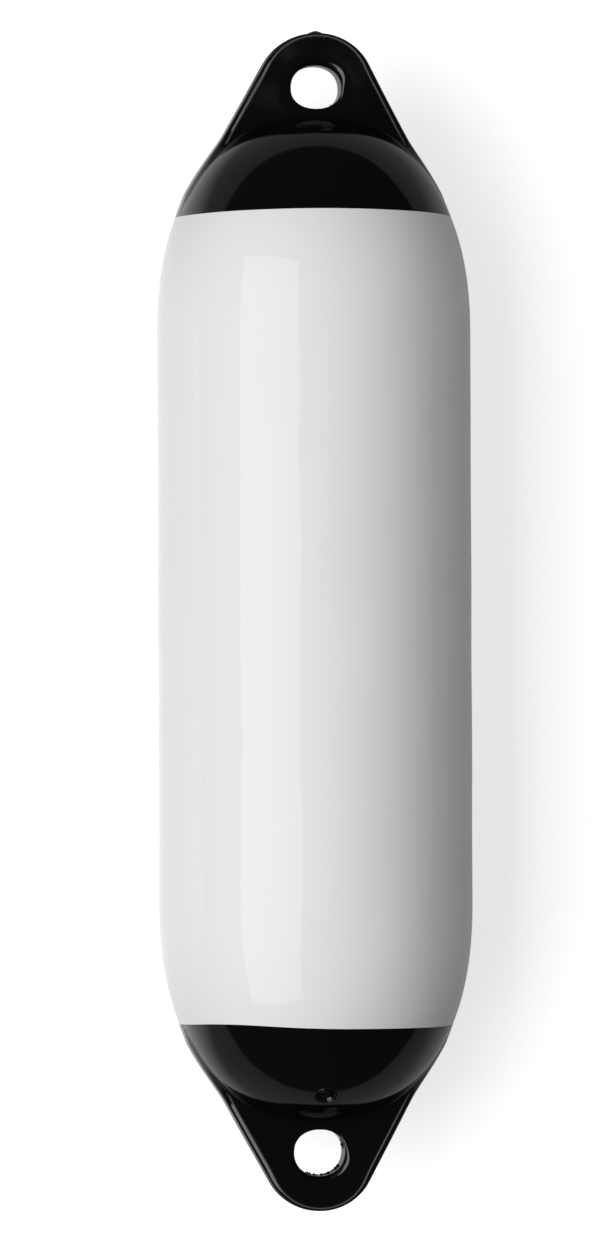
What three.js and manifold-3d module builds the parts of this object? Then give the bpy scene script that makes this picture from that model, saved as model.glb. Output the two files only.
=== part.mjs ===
// Boat fender: an air-filled vinyl tube that ends in two domes, each with a flat rope lug, all moulded as one
// piece, and a screw valve in the lower dome.
//
// Millimetres. The fender lies on its side on the plane z = 0: +Y runs along it to the upper lug, +Z is up,
// and both lugs are level. The origin is on the floor, under the middle of the whole length.

import * as THREE from "three";
import { mergeVertices } from "three/addons/utils/BufferGeometryUtils.js";
import Module from "manifold-3d";

const wasm = await Module();
wasm.setup();
const deg = THREE.MathUtils.degToRad;

// Body: a tube that closes at both ends in a blunt dome
const BODY_RADIUS = 60;
const BODY_LENGTH = 383; // from pole to pole, without the lugs
const DOME_LENGTH = 84;
const DOME_POWER = 2.28; // 2 is an ellipsoid, more is blunter
const FLAT_DEPTH = 0.8; // how far the soft underside is pressed flat by its own weight
const UPPER_BLACK = 38; // from the upper pole to the border of the black end
const LOWER_BLACK = 36.7;

// Lugs: a flat plate with rounded edges that grows out of each dome, drafted both ways from the parting line
const LUG_THICKNESS = 15.2;
const LUG_DRAFT = deg(3);
const LUG_EDGE_RADIUS = 1.9;
const FLANK_ANGLE = deg(28.5); // from the fender's axis
const UPPER_LUG_REACH = 32.5; // from the pole to the tip
const LOWER_LUG_REACH = 34.7;
const UPPER_TIP_RADIUS = 23.3;
const LOWER_TIP_RADIUS = 21.9;
const ROOT_FILLET = 2.5; // between the lug's faces and the dome

// Pip: the cut-off feed of the mould, on the upper tip
const PIP_DIAMETER = 2.8;
const PIP_HEIGHT = 1.2;

// Eyes: an oval rope hole in each lug, with rounded mouths
const EYE_WIDTH = 19.4;
const EYE_MOUTH_RADIUS = 2.6;
const UPPER_EYE_PLACE = 10.7; // from the pole to the widest line of the hole
const UPPER_EYE_OUTWARD = 9; // from that line to the rim on the tip's side
const UPPER_EYE_INWARD = 7.6; // and on the dome's side
const LOWER_EYE_PLACE = 11.4;
const LOWER_EYE_OUTWARD = 9.5;
const LOWER_EYE_INWARD = 8.2;
const EYE_POWER = 2.15; // 2 is an ellipse, more is squarer

// Valve: a collar bonded in a blind hole of the lower dome, closed by a slotted screw
const VALVE_PLACE = 11.2; // along the axis, from the lower pole to the valve's middle
const RECESS_DIAMETER = 8.4;
const RECESS_DEPTH = 3.2;
const COLLAR_SHANK_DIAMETER = 5.8;
const COLLAR_LENGTH = 13;
const COLLAR_DROP = 0.5; // from the dome's surface down to the collar's rim
const CUP_DIAMETER = 6.2;
const CUP_DEPTH = 1.5;
const SCREW_HEAD_DIAMETER = 5.2;
const SCREW_HEAD_HEIGHT = 1.1;
const SCREW_SHANK_DIAMETER = 3;
const SCREW_LENGTH = 9.5;
const SLOT_WIDTH = 0.9;
const SLOT_DEPTH = 0.6;
const CLEARANCE = 0.3; // between pieces that touch

// Facets
const ROUND_STEPS = 64; // round the body
const DOME_STEPS = 15;
const TIP_STEPS = 20;
const EDGE_STEPS = 4;
const FILLET_STEPS = 5;
const FILLET_STATIONS = 22;
const EYE_STEPS = 40;
const MOUTH_STEPS = 4;
const VALVE_STEPS = 32;
const PIP_STEPS = 12;
const SUNK = 0.4; // how far a joined shape reaches into the one that carries it
const BEYOND = 20; // how far a cutting shape runs past what it cuts

const white = new THREE.MeshStandardMaterial({ color: 0xe9e9e7, roughness: 0.16, metalness: 0 });
const black = new THREE.MeshStandardMaterial({ color: 0x0b0b0c, roughness: 0.14, metalness: 0 });
const collarBlack = new THREE.MeshStandardMaterial({ color: 0x131314, roughness: 0.35, metalness: 0 });
const screwBlack = new THREE.MeshStandardMaterial({ color: 0x1a1a1b, roughness: 0.28, metalness: 0 });

// Solids and meshes

function signedVolume(geometry) {
  const { position } = geometry.attributes;
  const [a, b, c] = [new THREE.Vector3(), new THREE.Vector3(), new THREE.Vector3()];
  let sum = 0;
  for (let i = 0; i < geometry.index.count; i += 3) {
    a.fromBufferAttribute(position, geometry.index.getX(i));
    b.fromBufferAttribute(position, geometry.index.getX(i + 1));
    c.fromBufferAttribute(position, geometry.index.getX(i + 2));
    sum += a.dot(b.cross(c));
  }
  return sum / 6;
}

// A closed geometry as a solid with its faces pointing out.
function solidOf(geometry) {
  const bare = geometry.clone();
  bare.deleteAttribute("normal");
  bare.deleteAttribute("uv");
  const merged = mergeVertices(bare, 1e-4);
  const triVerts = new Uint32Array(merged.index.array);
  if (signedVolume(merged) < 0) triVerts.reverse();
  const vertProperties = new Float32Array(merged.attributes.position.array);
  return new wasm.Manifold(new wasm.Mesh({ numProp: 3, vertProperties, triVerts }));
}

function geometryOf(solid) {
  const { vertProperties, triVerts } = solid.getMesh();
  const geometry = new THREE.BufferGeometry();
  geometry.setAttribute("position", new THREE.BufferAttribute(new Float32Array(vertProperties), 3));
  geometry.setIndex(new THREE.BufferAttribute(new Uint32Array(triVerts), 1));
  return geometry;
}

// A closed skin over loops that all have the same number of points, with a fan over the first and the last.
function loft(loops) {
  const size = loops[0].length;
  const points = loops.flat();
  const index = [];
  for (let row = 0; row + 1 < loops.length; row += 1) {
    for (let i = 0; i < size; i += 1) {
      const [a, b] = [row * size + i, row * size + ((i + 1) % size)];
      index.push(a, b, b + size, a, b + size, a + size);
    }
  }
  [0, loops.length - 1].forEach((row, end) => {
    const middle = loops[row].reduce((sum, p) => sum.add(p), new THREE.Vector3()).divideScalar(size);
    points.push(middle);
    for (let i = 0; i < size; i += 1) {
      const [a, b] = [row * size + i, row * size + ((i + 1) % size)];
      index.push(points.length - 1, end ? a : b, end ? b : a);
    }
  });
  return new THREE.BufferGeometry().setFromPoints(points).setIndex(index);
}

function turned(profile, steps) {
  return new THREE.LatheGeometry(profile.map(([r, y]) => new THREE.Vector2(r, y)), steps);
}

function range(count, make) {
  return Array.from({ length: count }, (_, i) => make(i));
}

// The dome: a superellipse turned round the axis. Depths run inwards from the pole.

function domeRadius(depth) {
  const share = Math.max(1 - depth / DOME_LENGTH, 0);
  return BODY_RADIUS * (1 - share ** DOME_POWER) ** (1 / DOME_POWER);
}

// How far the outward normal leans from the radius towards the pole, as its two shares.
function domeNormal(depth) {
  const share = Math.max(1 - depth / DOME_LENGTH, 0);
  const radial = (domeRadius(depth) / BODY_RADIUS) ** (DOME_POWER - 1) / BODY_RADIUS;
  const axial = share ** (DOME_POWER - 1) / DOME_LENGTH;
  const size = Math.hypot(radial, axial);
  return { radial: radial / size, axial: axial / size };
}

function makeBody() {
  const power = 2 / DOME_POWER;
  const depths = range(DOME_STEPS + 1, (i) => {
    const angle = (i / DOME_STEPS) * (Math.PI / 2);
    return DOME_LENGTH * (1 - Math.cos(angle) ** power);
  });
  const half = (border, side) =>
    [...depths, border]
      .sort((a, b) => a - b)
      .map((depth) => [domeRadius(depth), side * (BODY_LENGTH / 2 - depth)]);
  const profile = [...half(LOWER_BLACK, -1), ...half(UPPER_BLACK, 1).reverse()];
  profile[0][0] = 0;
  profile[profile.length - 1][0] = 0;
  const floor = new THREE.BoxGeometry(2 * BODY_RADIUS, BODY_LENGTH, BEYOND);
  floor.translate(0, 0, FLAT_DEPTH - BODY_RADIUS - BEYOND / 2);
  return solidOf(turned(profile, ROUND_STEPS)).subtract(solidOf(floor));
}

// A lug in its own frame: x across, y outwards from the pole, z through its thickness, 0 at the parting line.

// The outline, moved inwards: an arc round the tip and two straight flanks down to the root.
function lugOutline(lug, inset) {
  const radius = lug.tipRadius - inset;
  const centre = lug.reach - lug.tipRadius;
  const span = Math.PI / 2 - FLANK_ANGLE;
  const arc = range(TIP_STEPS + 1, (i) => {
    const angle = span * (1 - (2 * i) / TIP_STEPS);
    return [radius * Math.sin(angle), centre + radius * Math.cos(angle)];
  });
  const width = (radius + (centre + lug.root) * Math.sin(FLANK_ANGLE)) / Math.cos(FLANK_ANGLE);
  return [[width, -lug.root], ...arc, [-width, -lug.root]];
}

// The outline at an inset, as a loop at a height.
function lugLoop(lug, inset, z) {
  return lugOutline(lug, inset).map(([x, y]) => new THREE.Vector3(x, y, z));
}

// Inset and height of the wall from the parting line up to the face, round its edge.
function lugWall() {
  const height = LUG_THICKNESS / 2;
  const corner = height * Math.tan(LUG_DRAFT);
  const reach = LUG_EDGE_RADIUS * Math.tan((Math.PI / 2 - LUG_DRAFT) / 2);
  const rounded = range(EDGE_STEPS + 1, (i) => {
    const angle = LUG_DRAFT + (i / EDGE_STEPS) * (Math.PI / 2 - LUG_DRAFT);
    return [
      corner + reach - LUG_EDGE_RADIUS * Math.cos(angle),
      height - LUG_EDGE_RADIUS + LUG_EDGE_RADIUS * Math.sin(angle),
    ];
  });
  return [[0, 0], ...rounded];
}

function makePlate(lug) {
  const wall = lugWall();
  const lower = wall.slice(1).reverse().map(([inset, z]) => [inset, -z]);
  return solidOf(loft([...lower, ...wall].map(([inset, z]) => lugLoop(lug, inset, z))));
}

// The depth at which the flanks lie deepest inside the dome, where the plate can end unseen.
function rootDepth(reach, tipRadius) {
  const centre = reach - tipRadius;
  const cover = (depth) => {
    const width = (tipRadius + (centre + depth) * Math.sin(FLANK_ANGLE)) / Math.cos(FLANK_ANGLE);
    return domeRadius(depth) - width;
  };
  const depths = range(80, (i) => ((i + 1) / 80) * DOME_LENGTH);
  return depths.reduce((best, depth) => (cover(depth) > cover(best) ? depth : best));
}

// The depth at which a ball that rolls on the dome has its centre this far from the axis.
function rollingDepth(distance) {
  let [low, high] = [0, DOME_LENGTH];
  for (let i = 0; i < 40; i += 1) {
    const depth = (low + high) / 2;
    if (domeRadius(depth) + ROOT_FILLET * domeNormal(depth).radial < distance) low = depth;
    else high = depth;
  }
  return low;
}

// A fillet between the dome and the lug's upper face: what a ball of the fillet's radius leaves filled as it
// rolls along both. Its section is the ball's arc, closed by a corner sunk into both pieces, and it ends where
// the lug's edge starts to round.
function makeFillet(lug) {
  const height = LUG_THICKNESS / 2 + ROOT_FILLET;
  const width = lugOutline(lug, 0)[0][0];
  const loops = range(FILLET_STATIONS + 1, (i) => {
    const x = width * ((2 * i) / FILLET_STATIONS - 1);
    const distance = Math.hypot(x, height);
    const depth = rollingDepth(distance);
    const { radial, axial } = domeNormal(depth);
    const centre = new THREE.Vector3(x, axial * ROOT_FILLET - depth, height);
    const toPlate = new THREE.Vector3(0, 0, -1);
    const toDome = new THREE.Vector3((-radial * x) / distance, -axial, (-radial * height) / distance);
    const turn = toPlate.angleTo(toDome);
    const arc = range(FILLET_STEPS + 1, (k) => {
      const angle = (k / FILLET_STEPS) * turn;
      const direction = toPlate.clone().multiplyScalar(Math.sin(turn - angle));
      direction.addScaledVector(toDome, Math.sin(angle)).divideScalar(Math.sin(turn));
      return direction.multiplyScalar(ROOT_FILLET).add(centre);
    });
    const deep = ROOT_FILLET + SUNK;
    const corner = toPlate.clone().add(toDome).divideScalar(1 + toPlate.dot(toDome));
    const sunk = [toDome, corner, toPlate].map((d) => d.clone().multiplyScalar(deep).add(centre));
    return [...arc, ...sunk];
  });
  const [faceInset] = lugWall()[EDGE_STEPS + 1];
  const overFace = loft([-height, 2 * height].map((z) => lugLoop(lug, faceInset, z)));
  return solidOf(loft(loops)).intersect(solidOf(overFace));
}

// The eye's oval, moved outwards: an ellipse a little squared, shorter on the dome's side.
function eyeLoop(lug, offset, z) {
  return range(EYE_STEPS, (i) => {
    const angle = (i / EYE_STEPS) * 2 * Math.PI;
    const [c, s] = [Math.cos(angle), Math.sin(angle)];
    const size = (Math.abs(c) ** EYE_POWER + Math.abs(s) ** EYE_POWER) ** (-1 / EYE_POWER);
    const tall = (s > 0 ? lug.eyeOutward : lug.eyeInward) + offset;
    return new THREE.Vector3((EYE_WIDTH / 2 + offset) * size * c, lug.eyePlace + tall * size * s, z);
  });
}

// The hole and its two mouths, which widen along a quarter round to the faces.
function makeEye(lug) {
  const straight = LUG_THICKNESS / 2 - EYE_MOUTH_RADIUS;
  const mouth = range(MOUTH_STEPS + 1, (i) => {
    const angle = (i / MOUTH_STEPS) * deg(80);
    return [EYE_MOUTH_RADIUS * (1 - Math.cos(angle)), straight + EYE_MOUTH_RADIUS * Math.sin(angle)];
  });
  mouth.push([mouth[MOUTH_STEPS][0], LUG_THICKNESS / 2 + BEYOND]);
  const lower = [...mouth].reverse().map(([offset, z]) => [offset, -z]);
  return solidOf(loft([...lower, ...mouth].map(([offset, z]) => eyeLoop(lug, offset, z))));
}

// The lug's frame set at its end of the body.
function placed(solid, side) {
  const geometry = geometryOf(solid);
  geometry.translate(0, BODY_LENGTH / 2, 0);
  if (side < 0) geometry.rotateZ(Math.PI);
  return solidOf(geometry);
}

function mirroredDown(solid) {
  return solidOf(geometryOf(solid).rotateY(Math.PI));
}

function addLug(body, lug, side) {
  const fillet = makeFillet(lug);
  const plate = makePlate(lug).add(fillet).add(mirroredDown(fillet));
  return body.add(placed(plate, side)).subtract(placed(makeEye(lug), side));
}

function makePip() {
  const [foot, shoulder] = [UPPER_LUG_REACH - PIP_HEIGHT, UPPER_LUG_REACH - SUNK];
  const profile = [
    [0, foot],
    [PIP_DIAMETER / 2, foot],
    [PIP_DIAMETER / 2, shoulder],
    [0, UPPER_LUG_REACH + PIP_HEIGHT],
  ];
  return solidOf(turned(profile, PIP_STEPS));
}

// Valve pieces, turned round their own +Y axis, which leaves the dome along its normal. Height 0 is the
// dome's surface.

function valveHole() {
  const [wide, narrow] = [RECESS_DIAMETER / 2, COLLAR_SHANK_DIAMETER / 2 + CLEARANCE];
  const bottom = -COLLAR_DROP - COLLAR_LENGTH - CLEARANCE;
  const profile = [
    [0, bottom],
    [narrow, bottom],
    [narrow, -RECESS_DEPTH],
    [wide, -RECESS_DEPTH],
    [wide, BEYOND],
    [0, BEYOND],
  ];
  return turned(profile, VALVE_STEPS);
}

function makeCollar() {
  const [flange, shank] = [RECESS_DIAMETER / 2 - CLEARANCE, COLLAR_SHANK_DIAMETER / 2];
  const [cup, bore] = [CUP_DIAMETER / 2, SCREW_SHANK_DIAMETER / 2 + CLEARANCE];
  const [rim, seat] = [-COLLAR_DROP, CLEARANCE - RECESS_DEPTH];
  const foot = rim - COLLAR_LENGTH;
  const profile = [
    [bore, foot],
    [shank, foot],
    [shank, seat],
    [flange, seat],
    [flange, rim],
    [cup, rim],
    [cup, rim - CUP_DEPTH],
    [bore, rim - CUP_DEPTH],
    [bore, foot],
  ];
  return turned(profile, VALVE_STEPS);
}

function makeScrew() {
  const [head, shank] = [SCREW_HEAD_DIAMETER / 2, SCREW_SHANK_DIAMETER / 2];
  const seat = -COLLAR_DROP - CUP_DEPTH + CLEARANCE;
  const top = seat + SCREW_HEAD_HEIGHT;
  const bevel = SCREW_HEAD_HEIGHT / 4;
  const profile = [
    [0, seat - SCREW_LENGTH],
    [shank, seat - SCREW_LENGTH],
    [shank, seat],
    [head, seat],
    [head, top - bevel],
    [head - bevel, top],
    [0, top],
  ];
  const screw = turned(profile, VALVE_STEPS);
  const slot = new THREE.BoxGeometry(2 * head + BEYOND, 2 * SLOT_DEPTH, SLOT_WIDTH).translate(0, top, 0);
  return geometryOf(solidOf(screw).subtract(solidOf(slot)));
}

// The valve's frame on the lower dome, on the side that faces up.
function valveMatrix() {
  const { radial, axial } = domeNormal(VALVE_PLACE);
  const normal = new THREE.Vector3(0, -axial, radial);
  const turn = new THREE.Quaternion().setFromUnitVectors(new THREE.Vector3(0, 1, 0), normal);
  const place = new THREE.Vector3(0, VALVE_PLACE - BODY_LENGTH / 2, domeRadius(VALVE_PLACE));
  return new THREE.Matrix4().compose(place, turn, new THREE.Vector3(1, 1, 1));
}

// The triangles of the black ends first, then those of the white tube, as two material groups.
function twoColours(geometry) {
  const { position } = geometry.attributes;
  const ends = [];
  const tube = [];
  for (let i = 0; i < geometry.index.count; i += 3) {
    const face = [0, 1, 2].map((k) => geometry.index.getX(i + k));
    const y = face.reduce((sum, v) => sum + position.getY(v), 0) / 3;
    const isTube = y < BODY_LENGTH / 2 - UPPER_BLACK && y > LOWER_BLACK - BODY_LENGTH / 2;
    (isTube ? tube : ends).push(...face);
  }
  geometry.setIndex([...ends, ...tube]);
  geometry.addGroup(0, ends.length, 0);
  geometry.addGroup(ends.length, tube.length, 1);
  return geometry;
}

function named(name, geometry, material) {
  const flat = geometry.index ? geometry.toNonIndexed() : geometry;
  flat.computeVertexNormals();
  const mesh = new THREE.Mesh(flat, material);
  mesh.name = name;
  return mesh;
}

const upperLug = {
  reach: UPPER_LUG_REACH,
  tipRadius: UPPER_TIP_RADIUS,
  root: rootDepth(UPPER_LUG_REACH, UPPER_TIP_RADIUS),
  eyePlace: UPPER_EYE_PLACE,
  eyeOutward: UPPER_EYE_OUTWARD,
  eyeInward: UPPER_EYE_INWARD,
};
const lowerLug = {
  reach: LOWER_LUG_REACH,
  tipRadius: LOWER_TIP_RADIUS,
  root: rootDepth(LOWER_LUG_REACH, LOWER_TIP_RADIUS),
  eyePlace: LOWER_EYE_PLACE,
  eyeOutward: LOWER_EYE_OUTWARD,
  eyeInward: LOWER_EYE_INWARD,
};

const valvePlace = valveMatrix();
let body = addLug(addLug(makeBody(), upperLug, 1), lowerLug, -1);
body = body.add(placed(makePip(), 1)).subtract(solidOf(valveHole().applyMatrix4(valvePlace)));

const valve = new THREE.Group();
valve.add(named("valve_collar", makeCollar(), collarBlack));
valve.add(named("valve_screw", makeScrew(), screwBlack));
valve.applyMatrix4(valvePlace);

const fender = new THREE.Group();
fender.add(named("fender_body", twoColours(geometryOf(body)), [black, white]));
fender.add(valve);
fender.position.set(0, (LOWER_LUG_REACH - UPPER_LUG_REACH - PIP_HEIGHT) / 2, BODY_RADIUS - FLAT_DEPTH);

export default fender;
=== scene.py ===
# %% [markdown]
# # A boat fender, dressed around its packed model
#
# The real object is one hollow vinyl moulding: a white tube, two glossy black domes, and on each dome a
# flat lug with an oval rope eye. A screw valve sits in the lower dome. The packed model already holds
# every size. This script gives the moulding its fine surface, its two glossy vinyls and plain studio
# light.
#
# The packed model is loaded first, and what its box can tell is read from there, so the two can't drift
# apart. Everything is worked out in millimetres, and turned into metres when a mesh is made.

# %% Load the packed model
from types import SimpleNamespace

import bpy
import numpy as np
from mathutils import Matrix, Vector


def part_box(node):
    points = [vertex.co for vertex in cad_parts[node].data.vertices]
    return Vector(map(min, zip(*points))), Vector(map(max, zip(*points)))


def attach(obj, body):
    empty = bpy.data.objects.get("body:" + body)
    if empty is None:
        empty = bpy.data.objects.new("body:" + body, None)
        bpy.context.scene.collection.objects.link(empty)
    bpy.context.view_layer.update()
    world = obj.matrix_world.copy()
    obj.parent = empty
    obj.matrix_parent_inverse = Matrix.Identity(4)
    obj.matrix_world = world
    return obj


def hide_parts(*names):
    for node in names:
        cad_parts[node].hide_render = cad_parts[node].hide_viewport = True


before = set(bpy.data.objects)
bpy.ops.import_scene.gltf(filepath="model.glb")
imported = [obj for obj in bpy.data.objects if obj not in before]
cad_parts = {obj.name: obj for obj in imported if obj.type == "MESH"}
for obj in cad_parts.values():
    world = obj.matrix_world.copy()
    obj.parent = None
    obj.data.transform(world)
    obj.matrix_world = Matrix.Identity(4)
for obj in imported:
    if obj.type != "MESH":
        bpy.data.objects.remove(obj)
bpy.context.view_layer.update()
MM = 0.001

low, high = (np.array(corner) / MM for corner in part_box("fender_body"))
RADIUS = (high[0] - low[0]) / 2
AXIS_HEIGHT = high[2] - RADIUS
print("nodes", sorted(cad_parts), "radius", round(RADIUS, 2), "axis height", round(AXIS_HEIGHT, 2))

# %% [markdown]
# ## The two ends
#
# Both ends have the same kind of dome and lug. Modelling them one by one would double the work, so each
# is described in a frame of its own, seen from above, and one set of functions serves both: x runs
# across, s runs outwards from the dome's pole, and z is the height above the parting plane, where the two
# halves of the mould met. The lower lug is a little longer, and each lug leans a little to one side, as
# on the real fender.

# %% Sizes that both ends share
DOME_LENGTH = 84.0
DOME_POWER = 2.28
LUG_THICKNESS = 15.2
LUG_DRAFT = np.radians(3)
LUG_ROOT = 29.0
FLANK_ANGLE = np.radians(28.5)
LEAN_START = 20.0
EYE_HALF_WIDTH = 9.7
EYE_POWER = 2.15
PIP_HEIGHT = 1.2
print("dome", DOME_LENGTH, "mm long, lug", LUG_THICKNESS, "mm thick")

# %% Sizes of each end
# A mouth has its least and most radius and how early it grows, and a tear its angle, width and depth. A
# border wave has its size, count and phase, and the bulge its size, angle and width.
upper = SimpleNamespace(
    side=1, reach=32.5, tip_radius=23.3, pip=PIP_HEIGHT, lean=np.tan(np.radians(1.4)),
    eye_place=10.7, eye_outward=9.0, eye_inward=7.6, mouth=(0.8, 3.4, 0.1),
    tears=((-0.75, 0.12, 0.75),),
    border=37.5, border_waves=((0.6, 2, 0.0),), border_bulge=(0.0, 0.0, 1.0),
)
lower = SimpleNamespace(
    side=-1, reach=34.7, tip_radius=21.9, pip=0.0, lean=-np.tan(np.radians(0.9)),
    eye_place=11.4, eye_outward=9.5, eye_inward=8.2, mouth=(0.8, 2.7, 0.3),
    tears=((-2.92, 0.24, 1.1), (2.42, 0.12, 1.2), (1.95, 0.4, 0.9), (1.25, 0.3, 0.85)),
    border=36.8, border_waves=((0.15, 3, 1.0),), border_bulge=(1.95, 0.82, 0.6),
)
upper.pole = high[1] - upper.reach - upper.pip
lower.pole = -low[1] - lower.reach - lower.pip
for end in (upper, lower):
    end.eye = np.array([end.lean * (end.eye_place + LEAN_START), end.eye_place])
print("poles at", round(upper.pole, 2), round(-lower.pole, 2))

# %% [markdown]
# ## The moulding as one distance field
#
# On the real fender the dome, the lug and the eye run into each other through small rounded corners, as
# they left the mould. Boolean and Bevel modifiers could cut and round them, but a bevel breaks up where a
# drafted wall meets a curved dome at an angle that keeps changing. A distance field doesn't: each shape
# is a function that is below 0 inside and grows outwards like a distance. The smaller of two such
# functions joins the shapes, the larger cuts them, and a ball rolled along the corner rounds it.

# %% Join and cut with a rolled ball
def rolled_join(first, second, radius):
    """The smaller of two distances, with the inner corner filled by a ball: it, or the radius if that is
    more, less the length of (how far the first falls short of the radius, how far the second does)."""
    short_first = np.maximum(radius - first, 0)
    short_second = np.maximum(radius - second, 0)
    return np.maximum(np.minimum(first, second), radius) - np.hypot(short_first, short_second)


def rolled_cut(first, second, radius):
    """The larger of two distances, with the outer corner rounded: a rolled join, all turned inside out."""
    return -rolled_join(-first, -second, radius)


print("1 mm off two walls, a 2 mm ball leaves", round(float(rolled_join(1.0, 1.0, 2.0)), 3), "mm")

# %% [markdown]
# ## The dome
#
# Each end of the tube closes in a blunt dome. A stretched UV sphere would be too pointed, so the profile
# is a superellipse, whose power says how blunt it is. Its radius draws rings, and its distance joins it
# to the lug.

# %% Dome
def dome_radius(depth):
    """Superellipse: (radius / tube radius)^p + (1 - depth / dome length)^p = 1."""
    share = np.clip(1 - depth / DOME_LENGTH, 0, 1)
    return RADIUS * (1 - share**DOME_POWER) ** (1 / DOME_POWER)


def dome_distance(s, x, z):
    """The superellipse's own measure less 1, over its steepness, which makes it nearly a distance."""
    across = np.hypot(x, z) / RADIUS
    along = np.maximum(s + DOME_LENGTH, 0) / DOME_LENGTH
    measure = (across**DOME_POWER + along**DOME_POWER) ** (1 / DOME_POWER)
    slope_across = (across / measure) ** (DOME_POWER - 1) / RADIUS
    slope_along = (along / measure) ** (DOME_POWER - 1) / DOME_LENGTH
    return (measure - 1) / np.hypot(slope_across, slope_along)


print("10 mm below the pole the dome's radius is", round(float(dome_radius(10.0)), 2))

# %% [markdown]
# ## The lug's outline
#
# A lug is a flat ear with a round tip and two straight flanks that run down into the dome. It could be a
# curve that is drawn and extruded, but a circle and its two tangents have a plain distance, which the
# field can use as it is. On the upper tip stands a small pip, where the mould was fed. It is part of the
# same distance, as a hipped roof, so it grows out of the edge without a seam.

# %% Outline of the lug
PIP_HALF_WIDTH, PIP_HALF_HEIGHT = 3.4, 2.0
PIP_ROUNDING = 0.9


def outline_distance(end, x, s, z):
    """Beside the tip, the length of (across, out) less the tip's radius. Beside a flank, |across| cos +
    out sin of the flank's angle, less that radius. The pip takes off its height times (1 - way), where
    way is the length of (across / half its width, z / half its height), kept off 0 to round the ridge."""
    across = x - end.lean * (s + LEAN_START)
    out = s - (end.reach - end.tip_radius)
    on_arc = out * np.cos(FLANK_ANGLE) > np.abs(across) * np.sin(FLANK_ANGLE)
    flank = np.abs(across) * np.cos(FLANK_ANGLE) + out * np.sin(FLANK_ANGLE)
    way = np.hypot(np.hypot(across / PIP_HALF_WIDTH, z / PIP_HALF_HEIGHT), PIP_ROUNDING / PIP_HALF_WIDTH)
    pip = end.pip * np.maximum(1 - way, 0) * (out > 0)
    return np.where(on_arc, np.hypot(across, out), flank) - end.tip_radius - pip


print("the upper lug's outline at its tip", round(float(outline_distance(upper, 0.0, upper.reach, 9.0)), 3))

# %% [markdown]
# ## The rope eye
#
# The mooring rope goes through an oval hole, taller towards the tip than towards the dome. Its mouth is
# nearly sharp on the dome's side and well rounded on the tip's side, where a rope would pull. A Bevel
# modifier gives one width all round, so here the radius is a function of the direction from the eye's
# middle.

# %% Rope eye
MOUTH_TURN = 0.8
TINY = 1e-6


def eye_height(end, out):
    """Half the oval's height: one value on the tip's side and another on the dome's side."""
    return np.where(out > 0, end.eye_outward, end.eye_inward)


def eye_distance(end, x, s):
    """From the oval's rim: (|across / half width|^p + |out / half height|^p)^(1/p) less 1, over its
    steepness."""
    across, out = x - end.eye[0], s - end.eye[1]
    tall = eye_height(end, out)
    wide_share, tall_share = np.abs(across) / EYE_HALF_WIDTH, np.abs(out) / tall
    measure = np.maximum((wide_share**EYE_POWER + tall_share**EYE_POWER) ** (1 / EYE_POWER), TINY)
    slope_across = (wide_share / measure) ** (EYE_POWER - 1) / EYE_HALF_WIDTH
    slope_out = (tall_share / measure) ** (EYE_POWER - 1) / tall
    return (measure - 1) / np.maximum(np.hypot(slope_across, slope_out), TINY)


def eye_rim(end, way):
    """How far the rim is from the eye's middle along unit ways: (|across / half width|^p + |out / half
    height|^p)^(-1/p)."""
    tall = eye_height(end, way[:, 1])
    oval = np.abs(way[:, 0] / EYE_HALF_WIDTH) ** EYE_POWER + np.abs(way[:, 1] / tall) ** EYE_POWER
    return oval ** (-1 / EYE_POWER)


def eased(share):
    """A smooth step from 0 to 1: 3t^2 - 2t^3."""
    share = np.clip(share, 0, 1)
    return share * share * (3 - 2 * share)


def mouth_radius(end, x, s):
    """How round the eye's mouth is: from least to most by an eased step of out / length of (across,
    out)."""
    least, most, early = end.mouth
    across, out = x - end.eye[0], s - end.eye[1]
    share = eased((out / np.maximum(np.hypot(across, out), TINY) + early) / MOUTH_TURN)
    return least + (most - least) * share


print("the upper eye's mouth towards its tip", round(float(mouth_radius(upper, upper.eye[0], 25.0)), 2))

# %% [markdown]
# ## The lug's walls and its trimmed edge
#
# The mould's halves part in the middle of the lug, so its walls lean in a little both ways from there.
# Where the face meets its rounded edge, a thin bead is left of the flash that was trimmed off by hand.
# The bead could be a bump map, but it catches the light as a thin line, so it is raised in the shape
# itself, and kept as a number from 0 to 1 that the material will read as well.

# %% Walls, edge and bead
TIP_EDGE, FLANK_EDGE = 1.0, 2.0
EDGE_GROWTH = 18.0
BEAD_HEIGHT, BEAD_WIDTH = 0.08, 0.25


def edge_radius(end, s):
    """How round the lug's edge is: least at the tip, and eased to more along the flanks."""
    return TIP_EDGE + (FLANK_EDGE - TIP_EDGE) * eased((end.reach - s) / EDGE_GROWTH)


def wall_distance(end, x, s, z):
    """From the lug's side wall: (outline's distance + z * tan(draft)) * cos(draft)."""
    return (outline_distance(end, x, s, z) + z * np.tan(LUG_DRAFT)) * np.cos(LUG_DRAFT)


def bead(end, x, s, z):
    """A bell across the line where the face meets its rounded edge: exp(-(off line / width)^2)."""
    off_line = wall_distance(end, x, s, z) + edge_radius(end, s)
    return np.exp(-((off_line / BEAD_WIDTH) ** 2)) * (s > -LUG_ROOT)


print("the edge is rounded by", TIP_EDGE, "mm at the tip and", FLANK_EDGE, "mm along the flanks")

# %% [markdown]
# ## The whole end
#
# Dome, lug and eye become one shape. The fillet between dome and lug is small over the middle, where the
# photo shows a crisp line, and grows where the flanks run into the dome. Far down the dome the lug has to
# end inside it, so below its root it sinks away.

# %% Distance from the moulding
LUG_FADE = 0.3
ROOT_FILLET, FLANK_FILLET = 0.8, 4.0
FILLET_START, FILLET_GROWTH = 10.0, 25.0


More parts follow.
